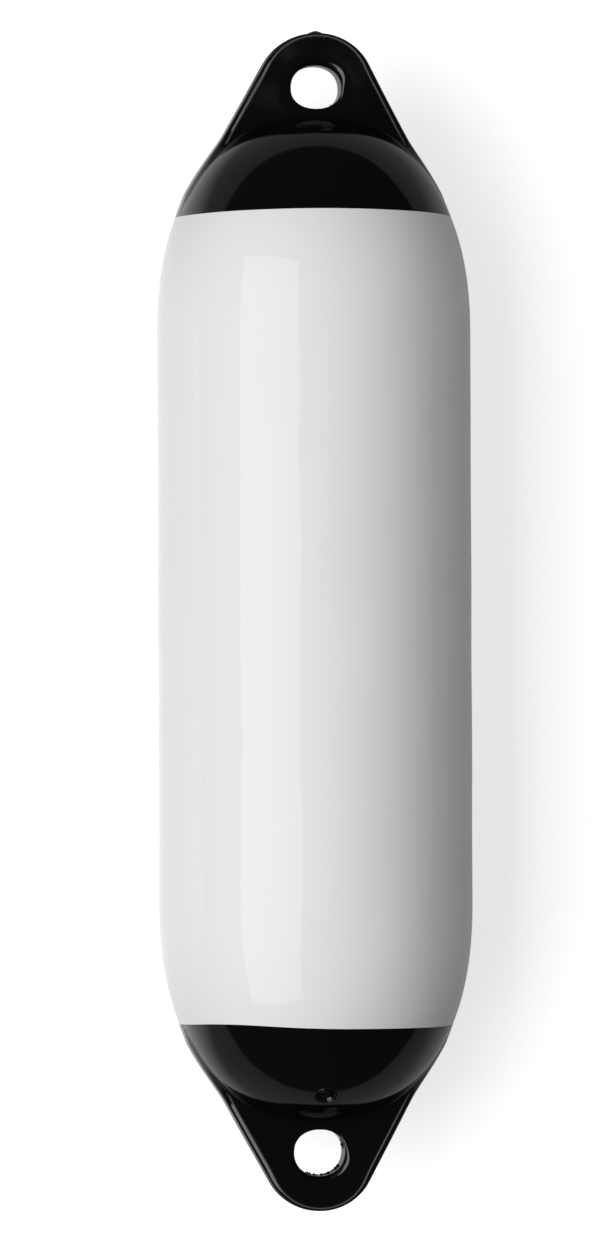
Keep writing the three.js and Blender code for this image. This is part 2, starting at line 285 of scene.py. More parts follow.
def moulding_distance(end, x, s, z):
    """Dome and lug in a rolled join, with the eye taken off by a rolled cut. The lug is a rolled cut of
    its wall and its face, plus LUG_FADE for each millimetre below its root."""
    z = np.abs(z)
    sunk = LUG_FADE * np.maximum(-s - LUG_ROOT, 0)
    face = z - LUG_THICKNESS / 2 - BEAD_HEIGHT * bead(end, x, s, z)
    lug = rolled_cut(wall_distance(end, x, s, z), face, edge_radius(end, s)) + sunk
    growth = eased((np.abs(x) - FILLET_START) / FILLET_GROWTH)
    fillet = ROOT_FILLET + (FLANK_FILLET - ROOT_FILLET) * growth
    joined = rolled_join(dome_distance(s, x, z), lug, fillet)
    return rolled_cut(joined, -eye_distance(end, x, s), mouth_radius(end, x, s))


print("field at the upper pole", round(float(moulding_distance(upper, 0.0, 0.0, 0.0)), 2))

# %% [markdown]
# ## From the field to a surface
#
# A Remesh modifier could turn such a field into a mesh, but its even little boxes would blur an edge of
# 1 mm. Seen from above, each half of an end is a height field, so the height at any place is found by
# halving, and the grid's points can be put where they are wanted. The field's own slope gives the
# normals, which is smoother than what the faces alone would give.

# %% Heights and normals
SLOPE_STEP = 0.01


def climb(inside, start, stop, steps=40):
    """Halves start...stop until it closes on the place where inside(value) stops being true."""
    for _ in range(steps):
        middle = (start + stop) / 2
        keep = inside(middle)
        start, stop = np.where(keep, middle, start), np.where(keep, stop, middle)
    return start


def surface_height(end, x, s):
    """The height above the parting plane at which the field is 0."""
    above = np.full_like(x, RADIUS + 1)
    return climb(lambda z: moulding_distance(end, x, s, z) < 0, np.zeros_like(x), above)


def field_normals(end, points):
    """The field's slope: its difference over a small step each way along x, s and z, made one long."""
    x, s, z = points[..., 0], points[..., 1], np.maximum(points[..., 2], 2 * SLOPE_STEP)
    slopes = [
        moulding_distance(end, x + dx, s + ds, z + dz) - moulding_distance(end, x - dx, s - ds, z - dz)
        for dx, ds, dz in np.eye(3) * SLOPE_STEP
    ]
    slope = np.stack(slopes, axis=-1)
    return slope / np.linalg.norm(slope, axis=-1, keepdims=True)


print("height beside the upper eye", surface_height(upper, np.array([14.0]), np.array([10.0])).round(3))

# %% [markdown]
# ## Rows where the surface turns
#
# On the flat of a lug a few long quads are enough, and its small rounded edges need many short ones. A
# Subdivision Surface would add them everywhere. So each line of points is measured first, by its length
# and by how much it turns, and the rows are then spread evenly over that measure.

# %% Spacing
LEAST_LENGTH = 1e-9


def spread(points, count, turn_weight):
    """Places on each polyline, from 0 at its start to 1 at its end, that are evenly spaced by length plus
    turn_weight times turning. points has the shape (samples, lines, coordinates)."""
    step = np.diff(points, axis=0)
    length = np.linalg.norm(step, axis=2)
    unit = step / np.maximum(length, LEAST_LENGTH)[..., None]
    turn = np.zeros_like(length)
    turn[1:] = np.arccos(np.clip((unit[1:] * unit[:-1]).sum(2), -1, 1))
    weight = np.vstack([np.zeros(length.shape[1]), np.cumsum(length + turn_weight * turn, axis=0)])
    lines = np.arange(weight.shape[1])
    total = weight[-1].max() + 1
    wanted = np.linspace(0, 1, count)[:, None] * weight[-1] + lines * total
    samples = np.tile(np.linspace(0, 1, weight.shape[0]), lines.size)
    places = np.interp(wanted.T.ravel(), (weight + lines * total).T.ravel(), samples)
    return places.reshape(lines.size, count).T


bent_line = np.array([[0.0, 0.0], [1.0, 0.0], [2.0, 0.0], [2.0, 1.0], [2.0, 2.0]])[:, None, :]
print("places on a line with one corner", spread(bent_line, 5, turn_weight=1.0)[:, 0].round(3))

# %% [markdown]
# ## The border of the black vinyl
#
# Black and white meet in a crisp line round the dome, a little wavy, and at the lower end it bulges
# towards the tube on one side. A texture could paint it, but a painted line is only as sharp as its
# pixels. Here the mesh itself is parted along a ring: the grid of each end stops there, and the white
# tube takes the same ring as its first or last row.

# %% Border ring
RING_STEPS = 100


def border_depth(end, angle):
    """Depth of the border below the pole: a mean, size * cos(count * angle + phase) for each wave, and
    one bell-shaped bulge."""
    waves = sum(size * np.cos(count * angle + phase) for size, count, phase in end.border_waves)
    size, middle, width = end.border_bulge
    return end.border + waves + size * np.exp(-(((angle - middle) / width) ** 2))


def ring_points(end, angle):
    """Points on the dome at the border's depth: (radius * cos(angle), -depth, radius * sin(angle))."""
    depth = border_depth(end, angle)
    radius = dome_radius(depth)
    return np.stack([radius * np.cos(angle), -depth, radius * np.sin(angle)], axis=-1)


print("the lower border's top is", round(float(border_depth(lower, np.pi / 2)), 2), "mm below its pole")

# %% [markdown]
# ## The outline in the parting plane
#
# The upper and lower halves of an end meet in the parting plane, along the lug's outline and the dome's
# sides. It is walked on rays from the middle of the eye, which each cross it once, and each crossing is
# found by halving. The points are then spread by length and turning, so the tip and the pip get more of
# them.

# %% Outline points
EDGE_STEPS = 150
OUTLINE_SAMPLES = 3000
NEAREST_EDGE, FARTHEST_EDGE = 11.0, 90.0


def edge_points(end):
    """The place on each ray where the field turns positive, from the ring's right end round the tip to
    its left end."""
    right, left = ring_points(end, np.array([0.0, np.pi]))
    start = np.arctan2(right[1] - end.eye[1], right[0] - end.eye[0])
    stop = np.arctan2(left[1] - end.eye[1], left[0] - end.eye[0]) + 2 * np.pi

    def crossing(angle):
        way = np.stack([np.cos(angle), np.sin(angle)])

        def inside(reach):
            x, s = end.eye[:, None] + way * reach
            return moulding_distance(end, x, s, 0.0) < 0

        reach = climb(inside, np.full_like(angle, NEAREST_EDGE), np.full_like(angle, FARTHEST_EDGE))
        return (end.eye[:, None] + way * reach).T

    angles = np.linspace(start, stop, OUTLINE_SAMPLES)
    share = spread(crossing(angles)[:, None, :], EDGE_STEPS + 1, turn_weight=6.0)[:, 0]
    points = crossing(start + share * (stop - start))
    points[0], points[-1] = right[:2], left[:2]
    return points


for end in (upper, lower):
    end.edge = edge_points(end)
    print("end", end.side, "outline points", len(end.edge))

# %% [markdown]
# ## One grid for each end
#
# A disc with a hole in it is a grid rolled up: its columns are rays from the middle of the eye out to the
# outline or the ring, and its rows climb the eye's wall, cross the face and run down the outer side. That
# keeps long, even quads round the eye and along the edges, where glossy vinyl would show each kink.

# %% End grids
BORE_ROWS = 3
FACE_ROWS = 70
RAY_SAMPLES = 500
OFF_RIM = 1e-3


def end_grid(end):
    """Rows and columns of one upper half, as (rows, columns, 3) in the end's own frame: the eye's middle
    + way * reach in plan, and the field's height above it."""
    angles = np.linspace(np.pi, 0, RING_STEPS + 1)[1:-1]
    ring = ring_points(end, angles)
    edge_count = len(end.edge)
    way = np.vstack([end.edge, ring[:, :2]]) - end.eye
    reach = np.linalg.norm(way, axis=1)
    way = way / reach[:, None]
    rim = eye_rim(end, way) + OFF_RIM

    def at(share):
        """Plan and height at a share of each ray, packed towards both ends: (1 - cos(pi share)) / 2."""
        out = rim + (reach - rim) * (1 - np.cos(np.pi * share)) / 2
        x, s = end.eye[0] + way[:, 0] * out, end.eye[1] + way[:, 1] * out
        return np.stack([x, s, surface_height(end, x, s)], axis=-1)

    dense = at(np.linspace(0, 1, RAY_SAMPLES)[:, None])
    rows = at(spread(dense, FACE_ROWS + 1, turn_weight=9.0))
    rows[-1, :edge_count] = np.column_stack([end.edge, np.zeros(edge_count)])
    rows[-1, edge_count:] = ring
    bore = np.repeat(rows[:1], BORE_ROWS, axis=0)
    bore[..., 2] *= (np.arange(BORE_ROWS) / BORE_ROWS)[:, None]
    return np.concatenate([bore, rows])


for end in (upper, lower):
    end.grid = end_grid(end)
    end.normals = field_normals(end, end.grid)
    print("end", end.side, "grid", end.grid.shape, "highest", round(end.grid[..., 2].max(), 2))

# %% [markdown]
# ## Into the fender's own frame
#
# The upper end only has to move out along Y. The lower one is turned half a turn as well, by numbers and
# not by the object's rotation, because a finished piece stays at the origin with its place in its mesh.

# %% Place the ends
BELOW = np.array([1, 1, -1])


def turned(end, ways):
    """Directions from the end's frame to the fender's: x and y times the end's side, z as it is."""
    return ways * np.array([end.side, end.side, 1])


def placed(end, points):
    """Points from the end's frame to the fender's: moved out by the pole's place, turned, and lifted to
    the axis."""
    return turned(end, points + np.array([0, end.pole, 0])) + np.array([0, 0, AXIS_HEIGHT])


print("the upper eye is at", placed(upper, np.array([*upper.eye, 0.0])).round(2))

# %% [markdown]
# ## The tube between the rings
#
# The white tube is blown up tight, so it is round, and a cylinder with scaled end loops would nearly do.
# But its shoulders follow the domes' superellipse and its ends are the two wavy rings, so it is a grid of
# its own: the rings' angles run round it, and its rows stand closer over the shoulders than over the
# straight middle.

# %% Tube grid
TUBE_ROWS = 74


def whole_ring(end):
    """The ring's points right round, from the fender's angle 0 over the top, and then back below."""
    angles = np.linspace(0, np.pi, RING_STEPS + 1)
    top = ring_points(end, angles if end.side > 0 else angles[::-1])
    top[[0, -1], 2] = 0
    return np.vstack([placed(end, top), placed(end, top[-2:0:-1] * BELOW)])


def tube_radius(y):
    """The smaller of the two domes' radii at this place along the fender."""
    return np.minimum(dome_radius(upper.pole - y), dome_radius(y + lower.pole))


def tube_grid():
    """Each column runs from one ring to the other at its own angle: (radius cos(angle), y, radius
    sin(angle)), with rows spaced half evenly and half by (1 - cos(pi t)) / 2."""
    first, last = whole_ring(upper), whole_ring(lower)
    angle = np.linspace(0, 2 * np.pi, len(first), endpoint=False)
    even = np.linspace(0, 1, TUBE_ROWS)[:, None]
    share = 0.5 * (1 - np.cos(np.pi * even)) / 2 + 0.5 * even
    y = first[:, 1] + share * (last[:, 1] - first[:, 1])
    radius = tube_radius(y)
    points = np.stack([radius * np.cos(angle), y, radius * np.sin(angle) + AXIS_HEIGHT], axis=-1)
    points[0], points[-1] = first, last
    slope = (tube_radius(y + SLOPE_STEP) - tube_radius(y - SLOPE_STEP)) / (2 * SLOPE_STEP)
    normals = np.stack(np.broadcast_arrays(np.cos(angle), -slope, np.sin(angle)), axis=-1)
    return points, normals / np.linalg.norm(normals, axis=-1, keepdims=True)


tube_points, tube_normals = tube_grid()
print("tube grid", tube_points.shape)

# %% [markdown]
# ## The valve's place
#
# Air goes in through a valve that stands square to the lower dome, close to the lug's root. Its axis
# comes from the dome's own slope at that place, so the recess and the collar both follow if the dome
# changes.

# %% Axis of the valve
VALVE_PLACE = 11.2
VALVE_STEPS = 96

depth_share = 1 - VALVE_PLACE / DOME_LENGTH
valve_spot = np.array([0, -VALVE_PLACE, dome_radius(VALVE_PLACE)])
slope_out = depth_share ** (DOME_POWER - 1) / DOME_LENGTH
slope_up = (valve_spot[2] / RADIUS) ** (DOME_POWER - 1) / RADIUS
valve_axis = np.array([0, slope_out, slope_up]) / np.hypot(slope_out, slope_up)
valve_across = np.array([1.0, 0, 0])
valve_along = np.cross(valve_axis, valve_across)


def around_valve():
    """Unit ways out from the valve's axis: cos(angle) * across + sin(angle) * along."""
    angle = np.linspace(0, 2 * np.pi, VALVE_STEPS, endpoint=False)
    return np.cos(angle)[:, None] * valve_across + np.sin(angle)[:, None] * valve_along


print("valve axis", np.round(turned(lower, valve_axis), 3))

# %% [markdown]
# ## The valve's recess
#
# The collar lies in a round recess with a soft lip. A Boolean would cut it with ragged faces on a curved
# dome. Instead the dome's quads inside a circle are left out, and a polar grid closes the opening: it
# lies a hair above the dome, rolls over the lip, and goes down the wall and over the seat to the collar's
# shank.

# %% Recess
RECESS_RADIUS, RECESS_DEPTH, RECESS_LIP = 4.15, 3.4, 0.45
SEAT_RADIUS = 3.0
PATCH_RADIUS, OPENED_RADIUS = 7.4, 6.2
DOME_ROWS, LIP_ROWS = 9, 9
LIFT, LEAST_LIFT, LIFT_GROWTH = 0.02, 0.25, 4.0
LIFT_SEARCH = 6.0


def in_recess(corners):
    """True for the quads whose corners all lie closer to the valve's axis than the opened radius."""
    way = corners - placed(lower, valve_spot)
    axis = turned(lower, valve_axis)
    off_axis = np.linalg.norm(way - (way @ axis)[..., None] * axis, axis=-1)
    return (off_axis < OPENED_RADIUS).all(axis=1)


def on_dome_below(flat):
    """Moves each point along the valve's axis onto the dome."""

    def inside(height):
        x, s, z = np.moveaxis(flat + height[..., None] * valve_axis, -1, 0)
        return dome_distance(s, x, z) < 0

    rise = climb(inside, np.full(flat.shape[:2], -LIFT_SEARCH), np.full(flat.shape[:2], LIFT_SEARCH))
    return flat + rise[..., None] * valve_axis


def recess_grid():
    """Rows of (radius, depth) turned about the axis: along the dome, a quarter circle over the lip, down
    the wall and over the seat. The normal leans from the dome's own towards the axis: cos(lean) * normal
    - sin(lean) * out."""
    along_dome = np.linspace(PATCH_RADIUS, RECESS_RADIUS + RECESS_LIP, DOME_ROWS)
    turn = np.linspace(0, np.pi / 2, LIP_ROWS + 1)[1:]
    lip_radius = RECESS_RADIUS + RECESS_LIP * (1 - np.sin(turn))
    lip_depth = RECESS_LIP * (1 - np.cos(turn))
    radius = np.concatenate([along_dome, lip_radius, np.repeat([RECESS_RADIUS, SEAT_RADIUS], [3, 1])])
    depth = np.concatenate([0 * along_dome, lip_depth, [RECESS_DEPTH / 2], np.repeat(RECESS_DEPTH, 3)])
    lean = np.concatenate([0 * along_dome, turn, np.radians([90, 90, 0, 0])])[:, None, None]
    out = around_valve()
    plan_radius = np.maximum(radius, RECESS_RADIUS)
    on_dome = on_dome_below(valve_spot + plan_radius[:, None, None] * out)
    raised = LIFT * np.clip((PATCH_RADIUS - radius) * LIFT_GROWTH, LEAST_LIFT, 1)
    inward = (radius - plan_radius)[:, None, None] * out
    points = on_dome + inward + (raised - depth)[:, None, None] * valve_axis
    normals = np.cos(lean) * field_normals(lower, on_dome) - np.sin(lean) * out
    normals[-2:] = valve_axis
    return placed(lower, points), turned(lower, normals)


recess_points, recess_normals = recess_grid()
print("recess grid", recess_points.shape)

# %% [markdown]
# ## The torn film
#
# A thin film of vinyl closes an eye when it comes out of the mould, and tearing it out leaves ragged
# shreds along the parting line. A displaced edge would need a fine mesh all over the eye's wall, so the
# film is a thin ring of its own. Where its depth is below 0, it stays hidden in the wall.

# %% Film
FILM_STEPS = 420
FILM_HALF = 0.15
FILM_START, FILM_HIDDEN = -0.5, -0.3
TEAR_WAVES = ((0.22, 23, 0.0), (0.16, 41, 1.0), (0.12, 67, 2.0), (0.08, 113, 0.0))
FILM_SECTION = ((-0.4, 1.0), (0.6, 0.8), (1.0, 0.3), (1.0, -0.3), (0.6, -0.8), (-0.4, -1.0))


def film_grid(end):
    """A section carried round the eye's rim. The film's depth is a sum of bells, size * exp(-(angle off
    the tear / width)^4), and of waves, size * sin(count * angle + phase). A section's point goes in by
    its share of that depth, or back into the wall by 0.4 mm."""
    angle = np.linspace(-np.pi, np.pi, FILM_STEPS, endpoint=False)
    way = np.stack([np.cos(angle), np.sin(angle)], axis=-1)
    depth = np.full_like(angle, FILM_START)
    for middle, width, size in end.tears:
        off = (angle - middle + np.pi) % (2 * np.pi) - np.pi
        depth += size * np.exp(-((off / width) ** 4))
    depth += sum(size * np.sin(count * angle + phase) for size, count, phase in TEAR_WAVES)
    inward, height = np.array(FILM_SECTION).T[..., None]
    reach = eye_rim(end, way) - np.where(inward > 0, inward * np.maximum(depth, FILM_HIDDEN), inward)
    plan = end.eye + way * reach[..., None]
    rise = np.broadcast_to(height * FILM_HALF, reach.shape)
    points = np.concatenate([plan, rise[..., None]], axis=-1)
    down = np.gradient(points, axis=0)
    along = (np.roll(points, -1, axis=1) - np.roll(points, 1, axis=1)) / 2
    normals = np.cross(down, along)
    normals = normals / np.linalg.norm(normals, axis=-1, keepdims=True)
    return placed(end, points), turned(end, normals)


for end in (upper, lower):
    end.film = film_grid(end)
    print("end", end.side, "film grid", end.film[0].shape)

# %% [markdown]
# ## Quads with normals of their own
#
# A mesh can be built from loose quads whose corners are then welded by place. Shade Smooth would average
# the faces' normals, which shows as dull patches on glossy vinyl. So each corner of a quad carries the
# true normal of its surface, and a number that says how much of it was trimmed.

# %% Quads of a grid
BLACK, WHITE = 0, 1
AROUND = ((0, 0), (1, 0), (1, 1), (0, 1))


def patch(points, normals, material, trim=None, flipped=False):
    """The quads of a grid that closes on itself sideways: places, normals and trim at each of their
    corners. Those are the grid's values at (row, column) plus each of the four steps round a quad."""
    trim = np.zeros(points.shape[:2]) if trim is None else trim
    around = AROUND[::-1] if flipped else AROUND
    rows, columns = points.shape[0] - 1, points.shape[1]
    corners = []
    for grid in (points, normals, trim[..., None]):
        closed = np.concatenate([grid, grid[:, :1]], axis=1)
        quads = [closed[row : row + rows, column : column + columns] for row, column in around]
        corners.append(np.stack(quads, axis=2).reshape(rows * columns, 4, -1))
    return [*corners, np.full(rows * columns, material)]


def joined_patches(patches):
    """All patches' corners, normals, trims and materials, each as one array."""
    return [np.concatenate(parts) for parts in zip(*patches)]


tube_patch = patch(tube_points, tube_normals, WHITE, flipped=True)
print("tube quads", len(tube_patch[0]))

# %% [markdown]
# ## A soft skin at rest
#
# A soft moulding is never quite true: long shallow waves bend its reflections, and it lies flat where it
# presses on the floor. A Displace modifier could do the first, but it would leave the normals behind.
# Here the waves and the flat move the points, and their slopes tilt the normals.

# %% Waves and the flat underside
WAVES = (
    (0.05, (70.0, 95.0, np.inf), 0.3),
    (0.04, (-52.0, 61.0, 80.0), 1.9),
    (0.03, (45.0, -130.0, 60.0), 4.0),
)
FLAT_SOFTNESS = 0.3


def waved(points, normals):
    """Adds size * sin(2 pi * (x/a + y/b + z/c) + phase) along the normal, and tilts the normal by its
    slope."""
    rise = np.zeros(points.shape[:-1])
    slope = np.zeros_like(points)
    for size, lengths, phase in WAVES:
        per_mm = 2 * np.pi / np.array(lengths)
        inner = points @ per_mm + phase
        rise += size * np.sin(inner)
        slope += size * np.cos(inner)[..., None] * per_mm
    tilt = slope - (slope * normals).sum(-1, keepdims=True) * normals
    return points + rise[..., None] * normals, normals - tilt


def settled(points, normals):
    """Presses the underside flat on the floor: the height z becomes (z + length of (z, softness)) / 2."""
    z = points[..., 2]
    size = np.hypot(z, FLAT_SOFTNESS)
    squeeze = ((1 + z / size) / 2)[..., None]
    points = np.concatenate([points[..., :2], ((z + size) / 2)[..., None]], axis=-1)
    normals = np.concatenate([normals[..., :2] * squeeze, normals[..., 2:]], axis=-1)
    return points, normals / np.linalg.norm(normals, axis=-1, keepdims=True)


lowest_point, _ = settled(np.array([0, 0, -0.8]), np.array([0, 0, -1.0]))
print("a point 0.8 mm below the floor settles at", lowest_point.round(3))

# %% [markdown]
# ## All the moulding's quads
#
# The tube and the two halves of both ends share their border points exactly, so they weld into one skin.
# The films and the recess only lie against that skin, with their borders hidden. The lower half of an end
# is its upper half with the height turned round, which also turns the faces inside out, so its quads are
# taken the other way round.

# %% Collect the grids
FACE_BAND = 1.0


def trimmed(end):
    """How much of each point was trimmed: the bead, faded in over its width below the face and ended just
    above it."""
    x, s, z = np.moveaxis(end.grid, -1, 0)
    over_face = z - LUG_THICKNESS / 2
    return bead(end, x, s, z) * np.clip(over_face / BEAD_WIDTH + 2, 0, 1) * (over_face < FACE_BAND)


patches = [tube_patch]
for end in (upper, lower):
    trim = trimmed(end)
    top = patch(placed(end, end.grid), turned(end, end.normals), BLACK, trim)
    if end is lower:
        kept = ~in_recess(top[0])
        top = [part[kept] for part in top]
    patches.append(top)
    below, normals_below = placed(end, end.grid * BELOW), turned(end, end.normals * BELOW)
    patches.append(patch(below, normals_below, BLACK, trim, flipped=True))
    patches.append(patch(*end.film, BLACK))
patches.append(patch(recess_points, recess_normals, BLACK, flipped=True))
corners, corner_normals, corner_trim, materials = joined_patches(patches)
facing = np.cross(corners[:, 2] - corners[:, 0], corners[:, 3] - corners[:, 1])
outwards = (facing * corner_normals[:, 0]).sum(1) > 0
print("quads", len(corners), "share that face outwards", outwards.mean().round(3))

# %% [markdown]
# ## From quads to an object
#
# from_pydata takes places and faces as whole arrays, and foreach_set fills in the rest. Corners are
# welded by rounding their places, which needs no Merge by Distance and can't close the fine edges by
# mistake.

# %% Make a skin from quads
WELD_DECIMALS = 5


def skin(name, corners, corner_normals, corner_trim, materials):
    """A mesh from loose quads: corners at the same rounded place become one vertex, and each corner keeps
    its own normal."""
    flat = np.round(corners.reshape(-1, 3), WELD_DECIMALS) + 0.0
    places, index = np.unique(flat, axis=0, return_inverse=True)
    mesh = bpy.data.meshes.new(name)
    mesh.from_pydata(places * MM, [], index.reshape(-1, 4))
    mesh.polygons.foreach_set("material_index", materials.astype(np.int32))
    mesh.polygons.foreach_set("use_smooth", np.ones(len(materials), bool))
    mesh.normals_split_custom_set(corner_normals.reshape(-1, 3))
    mesh.attributes.new("trim", "FLOAT", "CORNER").data.foreach_set("value", corner_trim.ravel())
    made = bpy.data.objects.new(name, mesh)
    bpy.context.scene.collection.objects.link(made)
    return made


print("places are welded to", 10.0**-WELD_DECIMALS, "mm")

# %% [markdown]
# ## The valve's collar
#
# A round collar is bonded into the recess. Its flange lies just below the dome, and its top slopes into a
# cup in which the slotted screw sits. Blender's Screw modifier could turn its profile, but the valve's
# axis is slanted, so the profile is turned about that axis here. Each stretch of the profile is a patch
# of its own, which keeps the edges between them sharp.

# %% Collar
BORE, SHANK, FLANGE, CUP = 1.8, 2.9, 3.9, 2.7
TOP, CUP_FLOOR, FLANGE_FOOT, SHANK_END = -0.5, -2.0, -2.9, -13.5
FLANGE_EDGE = 0.1
FUNNEL = ((3.65, TOP), (2.95, -1.55), (2.8, -1.7), (CUP, -1.75))
COLLAR = (
    (BORE, SHANK_END), (SHANK, SHANK_END), (SHANK, FLANGE_FOOT), (FLANGE, FLANGE_FOOT),
    (FLANGE, TOP - FLANGE_EDGE), (FLANGE - FLANGE_EDGE, TOP), *FUNNEL,
    (CUP, CUP_FLOOR), (BORE, CUP_FLOOR), (BORE, SHANK_END),
)


def turned_about_valve(profile):
    """A closed profile of (radius, height) pairs turned about the valve's axis: spot + radius * out +
    height * axis. A stretch's normal is its rise * out - its widening * axis, made one long."""
    out = around_valve()
    made = []
    for start, stop in zip(profile, profile[1:]):
        points = [valve_spot + radius * out + height * valve_axis for radius, height in (start, stop)]
        widening, rise = np.subtract(stop, start)
        normal = (rise * out - widening * valve_axis) / np.hypot(rise, widening)
        normals = np.stack([normal, normal])
        made.append(patch(placed(lower, np.stack(points)), turned(lower, normals), BLACK, flipped=True))
    return joined_patches(made)


collar = skin("fender_valve_collar", *turned_about_valve(COLLAR))
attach(collar, "root")
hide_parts("valve_collar")
print("collar", len(collar.data.vertices), "vertices")

# %% [markdown]
# ## The moulding
#
# The whole skin gets its waves and its flat underside in one go, so tube, domes and lugs bend together,
# and takes the place of the packed body. It is all one piece, because the real one has no joint anywhere.

# %% Moulding
moved, tilted = settled(*waved(corners, corner_normals))
moulding = skin("fender_moulding", moved, tilted, corner_trim, materials)
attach(moulding, "root")
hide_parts("fender_body")
print("moulding", len(moulding.data.vertices), "vertices")

# %% [markdown]
# ## Shaders as arithmetic
#
# A shader is a graph, but its arithmetic reads best as arithmetic. A Wire stands for one output socket,
# and the usual operators on it add Math nodes. All other nodes come from one method, which sets a node's
# settings first and then its sockets.

# %% Shader arithmetic
class Wire:
    """An output socket that takes part in Python expressions."""

    def __init__(self, graph, socket):
        self.graph, self.socket = graph, socket

    def math(self, operation, *values):
        """A Math node of this operation on these values."""
        return self.graph.add("ShaderNodeMath", {"operation": operation}, dict(enumerate(values)))[0]

    def __add__(self, other):
        return self.math("ADD", self, other)

    def __sub__(self, other):
        return self.math("SUBTRACT", self, other)

    def __rsub__(self, other):
        return self.math("SUBTRACT", other, self)

    def __mul__(self, other):
        return self.math("MULTIPLY", self, other)

    def __abs__(self):
        return self.math("ABSOLUTE", self)

    __radd__, __rmul__ = __add__, __mul__


class Graph:
    """The node tree of a material or of the world."""

    def __init__(self, owner):
        owner.use_nodes = True
        self.tree = owner.node_tree
        self.tree.nodes.clear()

    def add(self, kind, settings=None, sockets=None):
        """Adds a node, sets its settings, then gives its sockets values or links. Returns its outputs."""
        node = self.tree.nodes.new(kind)
        for name, value in (settings or {}).items():
            setattr(node, name, value)
        for name, value in (sockets or {}).items():
            if isinstance(value, Wire):
                self.tree.links.new(value.socket, node.inputs[name])
            else:
                node.inputs[name].default_value = value
        return [Wire(self, socket) for socket in node.outputs if socket.enabled]


print("a Wire knows", [name for name in vars(Wire) if name.startswith("__") and callable(vars(Wire)[name])])

# %% Helpers on wires
def grey(value):
    """A grey as the four numbers of a colour socket."""
    return (value, value, value, 1.0)


def object_place(graph):
    """Object coordinates, which stay on the piece in every view: Texture Coordinate's fourth output."""
    return graph.add("ShaderNodeTexCoord")[3]


def rising(value, start, stop):
    """(value - start) / (stop - start), held between 0 and 1."""
    return value.graph.add("ShaderNodeMapRange", {}, {0: value, 1: start, 2: stop})[0]


def distance(across, along):
    """The length of (across, along): the root of the sum of their squares."""
    return across.math("SQRT", across * across + along * along)


def mixed(share, first, second):
    """The first colour where the share is 0 and the second where it is 1."""
    return share.graph.add("ShaderNodeMix", {"data_type": "RGBA"}, {0: share, 6: first, 7: second})[0]


print("middle grey is", grey(0.5))

# %% [markdown]
# ## Scuffs and dust
#
# The black lug is scuffed by its rope in cloudy patches, but not close round the eye, and a few specks of
# dust lie on the white tube. Both could be painted on an image, but they are too plain for that: a scuff
# is noise held to one place, and a speck is the middle of a Voronoi cell, in the few cells that chance
# picks.

# %% Scuffs and dust
LUG_SCUFFED = (0.19, 0.205)
OFF_EYE = (0.0125, 0.015)
CLOUDS = (0.35, 0.65)
CHANCE = (0.72, 0.78)
SPECK = (0.03, 0.015)
UPPER_EYE = (upper.pole + upper.eye_place) * MM


def scuffs(graph, place):
    """Cloudy noise times a rise towards the upper tip times a rise away from the eye."""
    across, along, _ = graph.add("ShaderNodeSeparateXYZ", {}, {0: place})
    on_lug = rising(along, *LUG_SCUFFED)
    on_face = on_lug * rising(distance(across, along - UPPER_EYE), *OFF_EYE)
    cloudy = graph.add("ShaderNodeTexNoise", {}, {"Vector": place, "Scale": 55.0, "Detail": 2.0})[0]
    return on_face * rising(cloudy, *CLOUDS)


def specks(graph, place):
    """1 in the middle of the Voronoi cells whose chance is high, and 0 elsewhere."""
    off_middle, chance = graph.add("ShaderNodeTexVoronoi", {}, {"Vector": place, "Scale": 70.0})[:2]
    return rising(chance, *CHANCE) * rising(off_middle, *SPECK)


print("scuffs leave the eye at y", round(UPPER_EYE, 4), "m bare")

# %% [markdown]
# ## Vinyl
#
# Soft vinyl from a polished mould is glossy, with a faint orange peel that only shows in its highlights.
# The Principled shader does that with a low roughness and a weak bump. Its grey and its roughness drift a
# little over the surface, so that large areas don't look painted. The trimmed line round a lug is paler
# and matt.

# %% Vinyl
TRIMMED = grey(0.075)
ROUGHNESS_DRIFT = 0.03
TRIM_ROUGHNESS = 0.35


def vinyl(name, dark, light, roughness, specular, scuff=0.0, dust=0.0):
    """Base colour: a mix of dark and light by noise, with dust and trim mixed in. Roughness: its own
    value plus shares of that noise, of the trim and of the scuffs."""
    material = bpy.data.materials.new(name)
    graph = Graph(material)
    place = object_place(graph)
    drift = graph.add("ShaderNodeTexNoise", {}, {"Vector": place, "Scale": 18.0, "Detail": 3.0})[0]
    peel = graph.add("ShaderNodeTexNoise", {}, {"Vector": place, "Scale": 900.0, "Detail": 2.0})[0]
    _, _, trim, _ = graph.add("ShaderNodeAttribute", {"attribute_name": "trim"})
    dusty = mixed(specks(graph, place) * dust, mixed(drift, dark, light), grey(0.0))
    colour = mixed(trim, dusty, TRIMMED)
    matt = roughness + drift * ROUGHNESS_DRIFT + trim * TRIM_ROUGHNESS + scuffs(graph, place) * scuff
    bump = graph.add("ShaderNodeBump", {}, {"Height": peel, "Strength": 0.02, "Distance": 0.0001})[0]
    sockets = {"Base Color": colour, "Roughness": matt, "Specular IOR Level": specular, "Normal": bump}
    shader = graph.add("ShaderNodeBsdfPrincipled", {}, sockets)[0]
    graph.add("ShaderNodeOutputMaterial", {}, {"Surface": shader})
    return material


black_vinyl = vinyl("black vinyl", grey(0.0015), grey(0.0035), roughness=0.07, specular=0.5, scuff=0.3)
white_vinyl = vinyl("white vinyl", grey(0.79), grey(0.81), roughness=0.015, specular=0.17, dust=0.3)
dull_plastic = vinyl("dull plastic", grey(0.002), grey(0.004), roughness=0.4, specular=0.15)
moulding.data.materials.append(black_vinyl)
moulding.data.materials.append(white_vinyl)
collar.data.materials.append(black_vinyl)
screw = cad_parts["valve_screw"]
screw.data.materials.clear()
screw.data.materials.append(dull_plastic)
print("materials", [material.name for material in bpy.data.materials])

